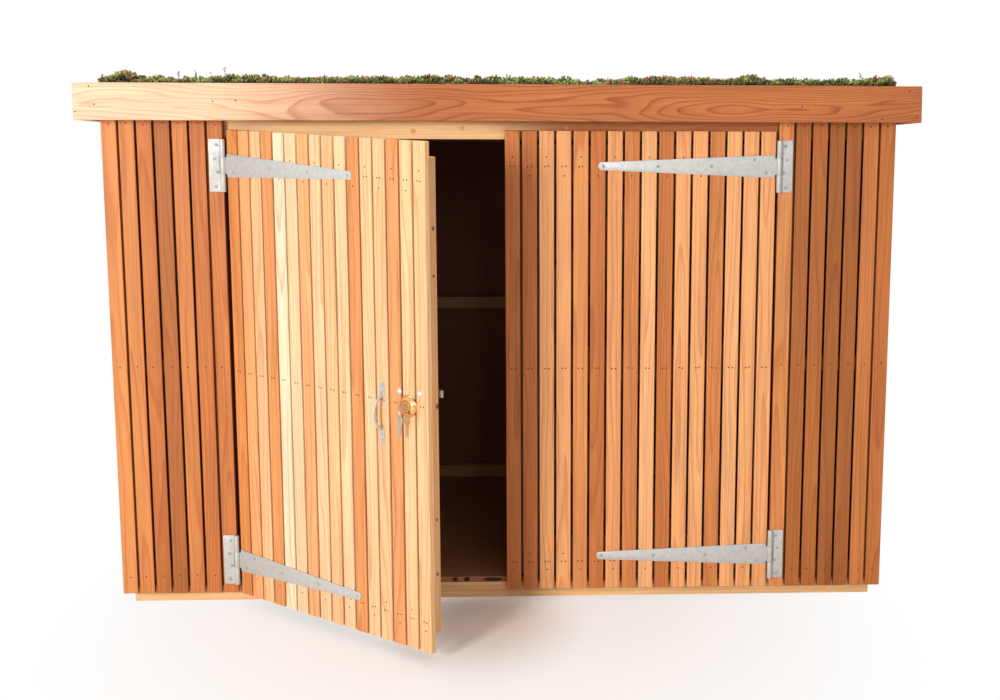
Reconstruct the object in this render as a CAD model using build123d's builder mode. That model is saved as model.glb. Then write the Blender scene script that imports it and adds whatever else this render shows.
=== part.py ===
from build123d import *
import os
from math import cos, radians, sin, sqrt, tan

os.makedirs("parts", exist_ok=True)

# A slatted cedar bike shelter with two front doors and a planted roof, in millimetres.
# The origin is on the ground under the middle of the base, +Z is up and the doors face -Y.

# Slats: upright battens on every side, on the front panels and on the doors
batten_w = 38
batten_t = 16
batten_gap = 6
panel_battens = 7
door_battens = 16
batten_bottom = 29

# Gaps of the doors, from the fixed slats to a leaf and between the two leaves
hinge_gap = 8
meeting_gap = 6

# The shell in plan, and the height of the front eaves
depth = 1120
fascia_bottom = 1277
roof_fall = 4
front_overhang = 62
side_overhang = 51
back_overhang = 51

# Timber sections
frame_t = 38
hinge_post_w = 63
sheathing_t = 9
floor_t = 15
base_h = 42
base_joists = 5
opening_top = 1227
mid_rail_z = 639

# Roof tray, measured square to the slope from the lower edge of the fascia
fascia_h = 92
fascia_t = 20
joist_lift = 10
joist_h = 45
roof_joists = 6
roof_deck_t = 12
substrate_t = 18
sedum_t = 27
substrate_inset = 10
sedum_inset = 45
roof_clearance = 2

# Door leaf: a framed, twice braced leaf behind its slats
door_slat_top = 1251
slat_over_top = 38
slat_over_bottom = 38
leaf_frame_t = 38
stile_w = 95
hinge_stile_w = 38
rail_w = 95
stile_setback = 18
brace_w = 95
brace_rise = 60

# Strap hinges
pin_r = 4
knuckle_r = 6.8
knuckle_clearance = 0.4
pin_clearance = 0.25
plate_h = 133
plate_reach = 35
plate_t = 3
strap_knuckle = 42
strap_reach = 467
strap_root = 11
strap_root_h = 59
strap_tip_h = 20
strap_nose = 4.5
strap_nose_h = 5
strap_t = 3
slot_reach = 8.6
upper_hinge_z = 1161
lower_hinge_z = 121
corner_r = 2

# Pull handle on the left leaf
handle_batten = 12
handle_z = 601
handle_len = 149
handle_foot_w = 15
handle_foot_len = 37
handle_foot_t = 3
handle_stand = 34
handle_grip_r = 4

# Lock on the left leaf, its brass rose, keys and bolt
rose_batten = 14
rose_z = 629
rose_r = 27
rose_h = 13
rose_rim = 3
rose_groove_r = 14.5
rose_groove = 2
cylinder_r = 8.5
cylinder_proud = 3
plug_r = 6
key_t = 2
key_neck_w = 8
key_bow_w = 20
key_bow_len = 19
key_bow_corner = 5
key_hole_in = 5.5
key_hole_r = 3.5
key_reach = 20
key_blade_w = 9.5
key_teeth = 5
tooth_pitch = 5.4
tooth_depth = 1.8
ring_r = 11
ring_wire_r = 1
ring_play = 0.9
case_w = 93
case_h = 86
case_t = 24
case_top = 692
case_setback = 25
bolt_h = 17
bolt_t = 8
bolt_len = 86
bolt_projection = 6
bolt_back = 2
bolt_z = 655
bolt_clearance = 0.4
channel_len = 62

# Keep and tower bolts on the inside of the right leaf
keep_w = 30
keep_t = 3
keep_clearance = 5.5
keep_foot = 15
tower_plate_w = 30
tower_plate_len = 130
tower_plate_t = 2.5
tower_rod_r = 5
tower_sink = 0.5
tower_guide_w = 24
tower_guide_t = 1.6
tower_guide_len = 16
tower_end_gap = 8
tower_knob_r = 5
tower_knob_len = 22

# How far the left leaf stands open
door_open_angle = 41.4

# Sizes that follow
pitch = batten_w + batten_gap
panel_w = panel_battens * pitch - batten_gap
leaf_w = door_battens * pitch - batten_gap
hinge_x = meeting_gap / 2 + leaf_w + hinge_gap
half_w = hinge_x + panel_w
front_y = -depth / 2
back_y = depth / 2
skin_t = sheathing_t + batten_t
frame_x = half_w - skin_t
frame_y = depth / 2 - skin_t
slat_back_y = front_y + batten_t
front_post_d = frame_t + sheathing_t
floor_top = base_h + floor_t
floor_rail_top = floor_top + frame_t
rail_half = frame_t / 2
axis_gap = knuckle_r + knuckle_clearance
leaf_bottom = batten_bottom + slat_over_bottom
leaf_top = door_slat_top - slat_over_top
leaf_mid = (leaf_bottom + leaf_top) / 2
leaf_end = hinge_gap + leaf_w
stile_end = leaf_end - stile_setback
stile_start = stile_end - stile_w
leaf_back = axis_gap + batten_t + leaf_frame_t
tall = fascia_bottom + fascia_h

# Planes: the sloping roof, and a plane at each hinge axis with X along its leaf and Z up
slope = radians(roof_fall)
roof = Plane(
    origin=(0, front_y - front_overhang, fascia_bottom),
    x_dir=(1, 0, 0),
    z_dir=(0, sin(slope), cos(slope)),
)
joist_seat = roof.offset(joist_lift)
slat_top = roof.offset(joist_lift - roof_clearance)
roof_half_w = half_w + side_overhang
roof_run = (front_overhang + depth + back_overhang) / cos(slope)
opened = radians(door_open_angle)
left_closed = Plane(origin=(-hinge_x, front_y - axis_gap, 0), x_dir=(1, 0, 0), z_dir=(0, 0, 1))
left_leaf = Plane(left_closed.origin, x_dir=(cos(opened), -sin(opened), 0), z_dir=(0, 0, 1))
right_leaf = Plane(origin=(hinge_x, front_y - axis_gap, 0), x_dir=(1, 0, 0), z_dir=(0, 0, 1))


def keep(piece, name):
    """Label a finished piece and write it as its own file."""
    piece.part.label = name
    export_step(piece.part, f"parts/{name}.step")


def face_of(leaf, stand):
    """The plane of a leaf seen from outside: X along the leaf, Y up, its Z outwards."""
    origin = leaf.from_local_coords(Vector(0, axis_gap - stand, 0))
    return Plane(origin, x_dir=leaf.x_dir, z_dir=-leaf.y_dir)


def bars(plane, rects, length):
    """Straight timbers of rectangular section: each rect is x0, x1, y0, y1 on the plane."""
    with BuildPart() as timber:
        with BuildSketch(plane):
            for x0, x1, y0, y1 in rects:
                with Locations(((x0 + x1) / 2, (y0 + y1) / 2)):
                    Rectangle(abs(x1 - x0), abs(y1 - y0))
        extrude(amount=length)
    return timber


def under(piece, plane):
    """Cut the tops of a piece to the slope of the roof."""
    with BuildPart() as cut:
        add(piece.part)
        split(bisect_by=plane, keep=Keep.BOTTOM)
    return cut


def spread(length, width, gap):
    """Left edges of like slats that fill a length, with the first and last at its ends."""
    count = int((length + gap) // (width + gap))
    step = (length - width) / (count - 1)
    return [index * step for index in range(count)]


def both(rects):
    """Rects on the left, and the same on the right."""
    return rects + [(-x1, -x0, y0, y1) for x0, x1, y0, y1 in rects]


# Base: two long bearers with joists between them
bearer_rects = [
    (-frame_x, frame_x, -frame_y, -frame_y + frame_t),
    (-frame_x, frame_x, frame_y - frame_t, frame_y),
]
keep(bars(Plane.XY, bearer_rects, base_h), "base_bearers")

joist_step = (2 * frame_x - frame_t) / (base_joists - 1)
joist_starts = [-frame_x + index * joist_step for index in range(base_joists)]
joist_y = frame_y - frame_t
keep(bars(Plane.XY, [(x, x + frame_t, -joist_y, joist_y) for x in joist_starts], base_h), "base_joists")

keep(bars(Plane.XY.offset(base_h), [(-frame_x, frame_x, -frame_y, frame_y)], floor_t), "floor_deck")

# Wall posts, cut to the slope: the front ones stand forward to carry the slats
post_in = frame_x - frame_t
post_back = slat_back_y + front_post_d
hinge_post_out = hinge_x + hinge_post_w
post_rects = both([
    (-frame_x, -post_in, slat_back_y, post_back),
    (-hinge_post_out, -hinge_x, slat_back_y, post_back),
    (-frame_x, -post_in, frame_y - frame_t, frame_y),
])
posts = bars(Plane.XY.offset(floor_top), post_rects, tall - floor_top)
keep(under(posts, joist_seat), "wall_posts")

# Rails of the front panels, the side walls and the back wall at three heights
rail_levels = [
    (floor_top, frame_t),
    (mid_rail_z - rail_half, frame_t),
]
front_rects = both([(-post_in, -hinge_post_out, slat_back_y, post_back)])
side_rects = both([(-frame_x, -post_in, post_back, frame_y - frame_t)])
back_rects = [(-post_in, post_in, frame_y - frame_t, frame_y)]
back_top_rail = fascia_bottom - (2 * frame_y + front_overhang) * tan(slope) - frame_t

for rects, top_rail, name in (
    (front_rects, opening_top, "front_panel_rails"),
    (back_rects, back_top_rail, "back_wall_rails"),
):
    with BuildPart() as rails:
        for bottom, height in rail_levels:
            add(bars(Plane.XY.offset(bottom), rects, height).part)
        add(under(bars(Plane.XY.offset(top_rail), rects, tall - top_rail), joist_seat).part)
    keep(rails, name)

with BuildPart() as side_rails:
    for bottom, height in rail_levels:
        add(bars(Plane.XY.offset(bottom), side_rects, height).part)
    with BuildSketch(Plane.YZ.offset(post_in)) as top_rail_side:
        with BuildLine():
            seat_front = fascia_bottom - (post_back - roof.origin.Y) * tan(slope) + joist_lift / cos(slope)
            seat_back = fascia_bottom - (frame_y - frame_t - roof.origin.Y) * tan(slope) + joist_lift / cos(slope)
            Polyline(
                (post_back, seat_front),
                (frame_y - frame_t, seat_back),
                (frame_y - frame_t, seat_back - frame_t),
                (post_back, seat_front - frame_t),
                close=True,
            )
        make_face()
    extrude(amount=frame_t)
    with BuildSketch(Plane.YZ.offset(-frame_x)):
        add(top_rail_side.sketch_local)
    extrude(amount=frame_t)
keep(side_rails, "side_wall_rails")

# Studs between the rails: one in each side wall, two in the back wall
back_stud_x = frame_x / 3
stud_side = both([(-frame_x, -post_in, -rail_half, rail_half)])
stud_back = both([(-back_stud_x - rail_half, -back_stud_x + rail_half, frame_y - frame_t, frame_y)])
lower_stud = mid_rail_z - rail_half - floor_rail_top
with BuildPart() as studs:
    add(bars(Plane.XY.offset(floor_rail_top), stud_side + stud_back, lower_stud).part)
    upper_from = Plane.XY.offset(mid_rail_z + rail_half)
    side_upper = bars(upper_from, stud_side, tall - mid_rail_z)
    add(under(side_upper, joist_seat.offset(-frame_t * cos(slope))).part)
    add(bars(upper_from, stud_back, back_top_rail - mid_rail_z - rail_half).part)
keep(studs, "wall_studs")

# Lintel over the doors, set back behind the door slats
lintel = bars(Plane.XY.offset(opening_top), [(-hinge_x, hinge_x, -frame_y, -frame_y + frame_t)], tall - opening_top)
keep(under(lintel, joist_seat), "front_lintel")

# Plywood sheathing on the sides and the back
sheathing_bottom = batten_bottom + roof_clearance
side_skin = both([(-frame_x - sheathing_t, -frame_x, slat_back_y, frame_y + sheathing_t)])
back_skin = [(-frame_x, frame_x, frame_y, frame_y + sheathing_t)]
sheathing_from = Plane.XY.offset(sheathing_bottom)
for rects, name in ((side_skin, "side_sheathing"), (back_skin, "back_sheathing")):
    keep(under(bars(sheathing_from, rects, tall - sheathing_bottom), slat_top), name)

# Slats of the fixed front panels, the sides and the back
slat_from = Plane.XY.offset(batten_bottom)
slat_len = tall - batten_bottom
panel_edges = [index * pitch for index in range(panel_battens)]
front_left = [(-half_w + x, -half_w + x + batten_w, front_y, slat_back_y) for x in panel_edges]
front_right = [(-x1, -x0, y0, y1) for x0, x1, y0, y1 in front_left]
side_len = depth - 2 * batten_t - 2 * batten_gap
side_edges = [slat_back_y + batten_gap + y for y in spread(side_len, batten_w, batten_gap)]
left_side = [(-half_w, -half_w + batten_t, y, y + batten_w) for y in side_edges]
right_side = [(-x1, -x0, y0, y1) for x0, x1, y0, y1 in left_side]
back_edges = [-half_w + x for x in spread(2 * half_w, batten_w, batten_gap)]
back_side = [(x, x + batten_w, back_y - batten_t, back_y) for x in back_edges]
for rects, name in (
    (front_left, "front_left_battens"),
    (front_right, "front_right_battens"),
    (left_side, "left_side_battens"),
    (right_side, "right_side_battens"),
    (back_side, "back_battens"),
):
    keep(under(bars(slat_from, rects, slat_len), slat_top), name)

# Roof tray: rim beams and joists, deck, fascia boards, growing layer and sedum mat
inner_w = roof_half_w - fascia_t
rim_rects = [
    (-inner_w, inner_w, fascia_t, fascia_t + frame_t),
    (-inner_w, inner_w, roof_run - fascia_t - frame_t, roof_run - fascia_t),
]
keep(bars(joist_seat, rim_rects, joist_h), "roof_rim")

roof_step = (2 * inner_w - frame_t) / (roof_joists - 1)
roof_starts = [-inner_w + index * roof_step for index in range(roof_joists)]
joist_run = (fascia_t + frame_t, roof_run - fascia_t - frame_t)
keep(bars(joist_seat, [(x, x + frame_t, *joist_run) for x in roof_starts], joist_h), "roof_joists")

deck_from = joist_lift + joist_h
deck_rect = (-inner_w, inner_w, fascia_t, roof_run - fascia_t)
keep(bars(roof.offset(deck_from), [deck_rect], roof_deck_t), "roof_deck")

keep(bars(roof, [(-roof_half_w, roof_half_w, 0, fascia_t)], fascia_h), "front_fascia")
keep(bars(roof, [(-roof_half_w, roof_half_w, roof_run - fascia_t, roof_run)], fascia_h), "back_fascia")
side_fascia_rects = both([(-roof_half_w, -inner_w, fascia_t, roof_run - fascia_t)])
keep(bars(roof, side_fascia_rects, fascia_h), "side_fascias")


def inset(rect, margin):
    """A rect drawn in by a margin on every side."""
    x0, x1, y0, y1 = rect
    return (x0 + margin, x1 - margin, y0 + margin, y1 - margin)


substrate_from = deck_from + roof_deck_t
sedum_from = substrate_from + substrate_t
keep(bars(roof.offset(substrate_from), [inset(deck_rect, substrate_inset)], substrate_t), "roof_substrate")
keep(bars(roof.offset(sedum_from), [inset(deck_rect, sedum_inset)], sedum_t), "sedum_mat")


def leaf_pieces(leaf, side, word):
    """Slats, stiles, rails and braces of one leaf. side is 1 where the leaf runs along +X."""

    def across(x0, x1, y0, y1):
        """A rect on the leaf, measured from its hinge axis."""
        return (min(side * x0, side * x1), max(side * x0, side * x1), y0, y1)

    slats_y = (axis_gap, axis_gap + batten_t)
    frame_at = (axis_gap + batten_t, leaf_back)
    edges = [hinge_gap + index * pitch for index in range(door_battens)]
    slat_rects = [across(x, x + batten_w, *slats_y) for x in edges]
    keep(bars(leaf.offset(batten_bottom), slat_rects, door_slat_top - batten_bottom), f"{word}_door_battens")

    stile_rects = [
        across(hinge_gap, hinge_gap + hinge_stile_w, *frame_at),
        across(stile_start, stile_end, *frame_at),
    ]
    keep(bars(leaf.offset(leaf_bottom), stile_rects, leaf_top - leaf_bottom), f"{word}_door_stiles")

    rail_rect = across(hinge_gap + hinge_stile_w, stile_start, *frame_at)
    with BuildPart() as rails:
        for bottom in (leaf_bottom, leaf_mid - rail_w / 2, leaf_top - rail_w):
            add(bars(leaf.offset(bottom), [rail_rect], rail_w).part)
    keep(rails, f"{word}_door_rails")

    # Each brace runs at 45 degrees from the meeting stile to the top or the bottom rail
    inner = face_of(leaf, -batten_t)
    with BuildPart() as braces:
        for way in (1, -1):
            foot = leaf_mid + way * (rail_w / 2 + brace_rise)
            heel = foot + way * brace_w * sqrt(2)
            head = leaf_mid + way * ((leaf_top - leaf_bottom) / 2 - rail_w)
            with BuildSketch(inner):
                with BuildLine():
                    Polyline(
                        (side * stile_start, foot),
                        (side * stile_start, heel),
                        (side * (stile_start - abs(head - heel)), head),
                        (side * (stile_start - abs(head - foot)), head),
                        close=True,
                    )
                make_face()
            extrude(amount=-leaf_frame_t)
    keep(braces, f"{word}_door_braces")


leaf_pieces(left_leaf, 1, "left")
leaf_pieces(right_leaf, -1, "right")


def hinge_plates(axis, side):
    """The fixed plates of a leaf's two hinges, each with two rolled knuckles on a riveted pin."""
    with BuildPart() as plates:
        for z in (upper_hinge_z, lower_hinge_z):
            with BuildSketch(face_of(axis, 0)):
                with Locations((-side * plate_reach / 2, z)):
                    RectangleRounded(plate_reach, plate_h, corner_r)
                with Locations((-side * slot_reach / 2, z)):
                    Rectangle(slot_reach, strap_knuckle + 2 * knuckle_clearance, mode=Mode.SUBTRACT)
            extrude(amount=plate_t)
            knuckle_len = (plate_h - strap_knuckle) / 2 - knuckle_clearance
            for bottom in (z - plate_h / 2, z + plate_h / 2 - knuckle_len):
                with BuildSketch(axis.offset(bottom)):
                    Circle(knuckle_r)
                extrude(amount=knuckle_len)
            with BuildSketch(axis.offset(z - plate_h / 2)):
                Circle(pin_r)
            extrude(amount=plate_h)
    return plates


def hinge_straps(leaf, side):
    """The long tapered straps of a leaf's two hinges, each rolled round the pin at its root."""
    with BuildPart() as straps:
        for z in (upper_hinge_z, lower_hinge_z):
            with BuildSketch(face_of(leaf, 0)):
                with BuildLine():
                    Polyline(
                        (0, z - strap_knuckle / 2),
                        (side * strap_root, z - strap_knuckle / 2),
                        (side * strap_root, z - strap_root_h / 2),
                        (side * (strap_reach - strap_nose), z - strap_tip_h / 2),
                        (side * strap_reach, z - strap_nose_h / 2),
                        (side * strap_reach, z + strap_nose_h / 2),
                        (side * (strap_reach - strap_nose), z + strap_tip_h / 2),
                        (side * strap_root, z + strap_root_h / 2),
                        (side * strap_root, z + strap_knuckle / 2),
                        (0, z + strap_knuckle / 2),
                        close=True,
                    )
                make_face()
            extrude(amount=strap_t)
            with BuildSketch(leaf.offset(z - strap_knuckle / 2)):
                Circle(knuckle_r)
            extrude(amount=strap_knuckle)
            with BuildSketch(leaf.offset(z - strap_knuckle / 2)):
                Circle(pin_r + pin_clearance)
            extrude(amount=strap_knuckle, mode=Mode.SUBTRACT)
    return straps


keep(hinge_plates(left_closed, 1), "left_hinge_plates")
keep(hinge_plates(right_leaf, -1), "right_hinge_plates")
keep(hinge_straps(left_leaf, 1), "left_hinge_straps")
keep(hinge_straps(right_leaf, -1), "right_hinge_straps")

# Pull handle: a bowed round grip on two screwed feet
outside = face_of(left_leaf, 0)
handle_x = hinge_gap + handle_batten * pitch + batten_w / 2
foot_from_end = handle_foot_len / 2
side_of_handle = Plane(
    outside.from_local_coords(Vector(handle_x, handle_z, 0)),
    x_dir=outside.z_dir,
    z_dir=-outside.x_dir,
)
with BuildPart() as pull_handle:
    with BuildSketch(outside):
        for end in (1, -1):
            with Locations((handle_x, handle_z + end * (handle_len / 2 - foot_from_end))):
                RectangleRounded(handle_foot_w, handle_foot_len, handle_foot_w * 0.45)
    extrude(amount=handle_foot_t)
    root = handle_len / 2 - handle_foot_len + handle_grip_r
    with BuildLine(side_of_handle) as bow:
        ThreePointArc(
            (handle_foot_t * 0.9, -root),
            (handle_stand - handle_grip_r, 0),
            (handle_foot_t * 0.9, root),
        )
    with BuildSketch(Plane(bow.line @ 0, z_dir=bow.line % 0)):
        Circle(handle_grip_r)
    sweep(path=bow.line)
keep(pull_handle, "pull_handle")

# Brass rose: a dome with a rim and a groove round its raised middle, bored for the lock cylinder
rose_x = hinge_gap + rose_batten * pitch + batten_w / 2
rose_plane = Plane(
    outside.from_local_coords(Vector(rose_x, rose_z, 0)),
    x_dir=outside.x_dir,
    z_dir=outside.z_dir,
)
rose_section = Plane(rose_plane.origin, x_dir=rose_plane.x_dir, z_dir=-rose_plane.y_dir)
shoulder_r = rose_groove_r + rose_groove / 2
shoulder_h = rose_h * 0.85
with BuildPart() as lock_rose:
    with BuildSketch(rose_section):
        with BuildLine():
            Polyline((cylinder_r, rose_h), (cylinder_r, 0), (rose_r, 0), (rose_r, rose_rim))
            ThreePointArc((rose_r, rose_rim), (rose_r * 0.85, rose_h * 0.62), (shoulder_r, shoulder_h))
            Polyline(
                (shoulder_r, shoulder_h),
                (rose_groove_r, shoulder_h - rose_groove),
                (rose_groove_r - rose_groove / 2, rose_h - 1),
                (rose_groove_r - rose_groove, rose_h),
                (cylinder_r, rose_h),
            )
        make_face()
    revolve(axis=Axis(rose_plane.origin, rose_plane.z_dir))
keep(lock_rose, "lock_rose")

# Lock cylinder, with the key standing in its plug
with BuildPart() as lock_cylinder:
    with BuildSketch(rose_plane):
        Circle(cylinder_r)
    extrude(amount=rose_h + cylinder_proud)
    with BuildSketch(rose_plane.offset(rose_h + cylinder_proud)):
        Circle(plug_r)
    extrude(amount=0.6)
keep(lock_cylinder, "lock_cylinder")

key_plane = Plane(rose_plane.origin, x_dir=rose_plane.z_dir, z_dir=-rose_plane.x_dir)
key_root = rose_h + cylinder_proud + 0.6
key_end = key_root + key_reach
bow_at = key_end - key_bow_len / 2
hole_at = key_end - key_hole_in
with BuildPart() as lock_key:
    with BuildSketch(key_plane):
        with Locations(((key_root + bow_at) / 2, 0)):
            Rectangle(bow_at - key_root, key_neck_w)
        with Locations((bow_at, 0)):
            RectangleRounded(key_bow_len, key_bow_w, key_bow_corner)
        with Locations((hole_at, 0)):
            Circle(key_hole_r, mode=Mode.SUBTRACT)
    extrude(amount=key_t / 2, both=True)
keep(lock_key, "lock_key")

# Split ring through the key's bow, with the second key hanging from it and facing outwards
ring_top = ring_wire_r + ring_play - key_hole_r
ring_centre = key_plane.from_local_coords(Vector(hole_at, ring_top - ring_r, 0))
ring_way = (rose_plane.x_dir + rose_plane.z_dir).normalized()
ring_axis = ring_way.cross(rose_plane.y_dir)
ring_section = Plane(ring_centre + rose_plane.y_dir * ring_r, x_dir=ring_axis, z_dir=ring_way)
spare_plane = Plane(ring_centre, x_dir=rose_plane.x_dir, z_dir=rose_plane.z_dir)
spare_hole = ring_wire_r + ring_play - ring_r - key_hole_r
spare_bow = spare_hole + key_hole_in - key_bow_len / 2
blade_top = spare_bow - key_bow_len / 2 + 1
blade_side = key_blade_w / 2
teeth = []
for index in range(key_teeth):
    teeth.append((blade_side, blade_top - (index + 1) * tooth_pitch))
    teeth.append((blade_side - tooth_depth, blade_top - (index + 1.5) * tooth_pitch))
blade_tip = blade_top - (key_teeth + 1) * tooth_pitch
with BuildPart() as spare_key:
    with BuildSketch(ring_section):
        Circle(ring_wire_r)
    revolve(axis=Axis(ring_centre, ring_axis))
    with BuildSketch(spare_plane):
        with Locations((0, spare_bow)):
            RectangleRounded(key_bow_w, key_bow_len, key_bow_corner)
        with Locations((0, spare_hole)):
            Circle(key_hole_r, mode=Mode.SUBTRACT)
        with BuildLine():
            Polyline(
                (-blade_side, blade_top),
                (blade_side, blade_top),
                *teeth,
                (0, blade_tip),
                (-blade_side, blade_tip + blade_side),
                close=True,
            )
        make_face()
    extrude(amount=key_t / 2, both=True)
keep(spare_key, "key_ring")

# Lock case on the inner face of the meeting stile, with a channel for its bolt
case_end = stile_end - case_setback
case_x = case_end - case_w / 2
case_z = case_top - case_h / 2
bolt_y = leaf_back + bolt_back + bolt_t / 2
with BuildPart() as lock_case:
    with BuildSketch(face_of(left_leaf, axis_gap - leaf_back)):
        with Locations((case_x, case_z)):
            RectangleRounded(case_w, case_h, 4)
    extrude(amount=-case_t)
    with BuildSketch(left_leaf.offset(bolt_z - bolt_h / 2 - bolt_clearance)):
        with Locations((case_end - channel_len / 2, bolt_y)):
            Rectangle(channel_len, bolt_t + 2 * bolt_clearance)
    extrude(amount=bolt_h + 2 * bolt_clearance, mode=Mode.SUBTRACT)
keep(lock_case, "lock_case")

bolt_end = stile_end + bolt_projection
keep(
    bars(
        left_leaf.offset(bolt_z - bolt_h / 2),
        [(bolt_end - bolt_len, bolt_end, bolt_y - bolt_t / 2, bolt_y + bolt_t / 2)],
        bolt_h,
    ),
    "lock_bolt",
)

# Keep on the right leaf: a hat-shaped staple that the thrown bolt enters
keep_x = -stile_end + keep_w / 2
keep_gap_h = bolt_h / 2 + keep_clearance
keep_gap_y = bolt_y + bolt_t / 2 + keep_clearance
with BuildPart() as lock_keep:
    with BuildSketch(Plane(right_leaf.from_local_coords(Vector(keep_x, 0, bolt_z)), x_dir=(0, 1, 0), z_dir=(1, 0, 0))):
        with BuildLine():
            Polyline(
                (leaf_back, keep_gap_h),
                (keep_gap_y, keep_gap_h),
                (keep_gap_y, -keep_gap_h),
                (leaf_back, -keep_gap_h),
                (leaf_back, -keep_gap_h - keep_t - keep_foot),
                (leaf_back + keep_t, -keep_gap_h - keep_t - keep_foot),
                (leaf_back + keep_t, -keep_gap_h - keep_t),
                (keep_gap_y + keep_t, -keep_gap_h - keep_t),
                (keep_gap_y + keep_t, keep_gap_h + keep_t),
                (leaf_back + keep_t, keep_gap_h + keep_t),
                (leaf_back + keep_t, keep_gap_h + keep_t + keep_foot),
                (leaf_back, keep_gap_h + keep_t + keep_foot),
                close=True,
            )
        make_face()
    extrude(amount=keep_w / 2, both=True)
keep(lock_keep, "lock_keep")

# Tower bolts, drawn back, at the top and the foot of the right leaf's meeting stile
tower_x = -(stile_start + stile_end) / 2
back_face = face_of(right_leaf, axis_gap - leaf_back)
with BuildPart() as tower_bolts:
    for way in (1, -1):
        end_z = leaf_mid + way * (leaf_top - leaf_bottom) / 2
        plate_z = end_z - way * (tower_end_gap + tower_plate_len / 2)
        with BuildSketch(back_face):
            with Locations((tower_x, plate_z)):
                RectangleRounded(tower_plate_w, tower_plate_len, corner_r)
        extrude(amount=-tower_plate_t)
        rod_y = leaf_back + tower_plate_t + tower_rod_r - tower_sink
        with BuildSketch(right_leaf.offset(plate_z - tower_plate_len / 2)):
            with Locations((tower_x, rod_y)):
                Circle(tower_rod_r)
        extrude(amount=tower_plate_len)
        for shift in (-1, 0, 1):
            guide_z = plate_z + shift * (tower_plate_len / 2 - tower_guide_len)
            with BuildSketch(right_leaf.offset(guide_z - tower_guide_len / 2)):
                with Locations((tower_x, leaf_back + tower_plate_t + tower_guide_t / 2)):
                    Rectangle(tower_guide_w, tower_guide_t)
                with Locations((tower_x, rod_y)):
                    Circle(tower_rod_r + tower_guide_t)
            extrude(amount=tower_guide_len)
        knob_z = plate_z - way * tower_plate_len / 4
        with BuildSketch(back_face.offset(-tower_plate_t)):
            with Locations((tower_x, knob_z)):
                Circle(tower_knob_r)
        extrude(amount=-(tower_rod_r * 2 + tower_knob_len))
keep(tower_bolts, "tower_bolts")
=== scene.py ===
import math
import random

import bmesh
import bpy
import numpy as np
from mathutils import Matrix, Vector, noise


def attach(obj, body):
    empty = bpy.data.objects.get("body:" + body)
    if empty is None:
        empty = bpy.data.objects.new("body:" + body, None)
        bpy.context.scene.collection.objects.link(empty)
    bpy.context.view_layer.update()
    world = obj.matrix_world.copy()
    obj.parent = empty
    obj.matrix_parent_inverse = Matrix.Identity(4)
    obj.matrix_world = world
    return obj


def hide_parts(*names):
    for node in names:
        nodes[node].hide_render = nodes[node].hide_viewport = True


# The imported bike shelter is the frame. Everything here is in metres in its coordinates.
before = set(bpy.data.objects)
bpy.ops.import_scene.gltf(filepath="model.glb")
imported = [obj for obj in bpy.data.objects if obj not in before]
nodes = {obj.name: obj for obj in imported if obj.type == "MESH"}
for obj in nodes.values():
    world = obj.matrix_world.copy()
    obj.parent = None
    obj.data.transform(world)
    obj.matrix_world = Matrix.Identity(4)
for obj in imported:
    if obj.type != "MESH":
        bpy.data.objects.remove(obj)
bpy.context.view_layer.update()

# Sizes shared with the construction
HINGE_X = 0.709  # the hinge axes, left and right of the middle
AXIS_Y = -0.5672
AXIS_GAP = 0.0072  # from a hinge axis back to the face of the slats
FRONT_Y = -0.560  # the face of the slats
FRAME_FRONT = -0.535  # the front of the base and of the lintel
BACK_Y = 0.560
HALF_W = 1.011
SIDE_FIRST = -0.538  # where the slats of the sides start
SIDE_RUN = 1.076
BATTEN_W = 0.038
BATTEN_T = 0.016
PITCH = 0.044
FIRST_SLAT = 0.008  # from a hinge axis to the first slat of its leaf
DOOR_SLATS = 16
PANEL_SLATS = 7
BACK_SLATS = 46
SIDE_SLATS = 24
STILE_EDGE = 0.688  # from the hinge axis to the free edge of the meeting stile
DOOR_ANGLE = math.radians(41.4)
UPPER_HINGE = 1.161
LOWER_HINGE = 0.121
STRAP_LEN = 0.467
STRAP_HEEL = 0.030  # half of a strap's width at its hinge and at its nose
STRAP_NOSE = 0.010
IRON_T = 0.003
ROOF_FALL = math.radians(4)

scene = bpy.context.scene
scene.view_settings.view_transform = "Standard"


def link(name, data):
    """Make an object of some data in the scene."""
    made = bpy.data.objects.new(name, data)
    scene.collection.objects.link(made)
    return made


def camera_at_the_doors():
    """The viewpoint: standing in front of the open leaf and looking slightly down."""
    lens = bpy.data.cameras.new("camera")
    lens.sensor_width = 36.0
    lens.lens = 58.977
    lens.shift_x = -0.1089
    lens.shift_y = -0.0064
    lens.clip_end = 60.0
    camera = link("camera", lens)
    turn = Matrix.Rotation(math.radians(-3.174), 4, "Z")
    tip = Matrix.Rotation(math.radians(-10.457), 4, "X")
    roll = Matrix.Rotation(math.radians(-0.359), 4, "Y")
    upright = Matrix.Rotation(math.radians(90), 4, "X")
    camera.matrix_world = Matrix.Translation((0.0389, -4.7706, 1.4762)) @ turn @ tip @ roll @ upright
    scene.camera = camera


camera_at_the_doors()


# Material helpers

def add(tree, kind, out=0, **settings):
    """Add a shader node. Settings that name a socket are linked or set; the others are properties."""
    made = tree.nodes.new(kind)
    for name, value in settings.items():
        if name[0].islower():
            setattr(made, name, value)
    for name, value in settings.items():
        if name[0].islower():
            continue
        key = int(name[1:]) if name[0] == "I" and name[1:].isdigit() else name.replace("_", " ")
        socket = made.inputs[key]
        if isinstance(value, bpy.types.NodeSocket):
            tree.links.new(value, socket)
        else:
            socket.default_value = value
    return made.outputs[out]


def maths(tree, operation, first, second, third=0.0):
    return add(tree, "ShaderNodeMath", operation=operation, I0=first, I1=second, I2=third)


def inverse(tree, value):
    return maths(tree, "SUBTRACT", 1.0, value)


def vectors(tree, operation, first, second):
    return add(tree, "ShaderNodeVectorMath", operation=operation, I0=first, I1=second)


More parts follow.
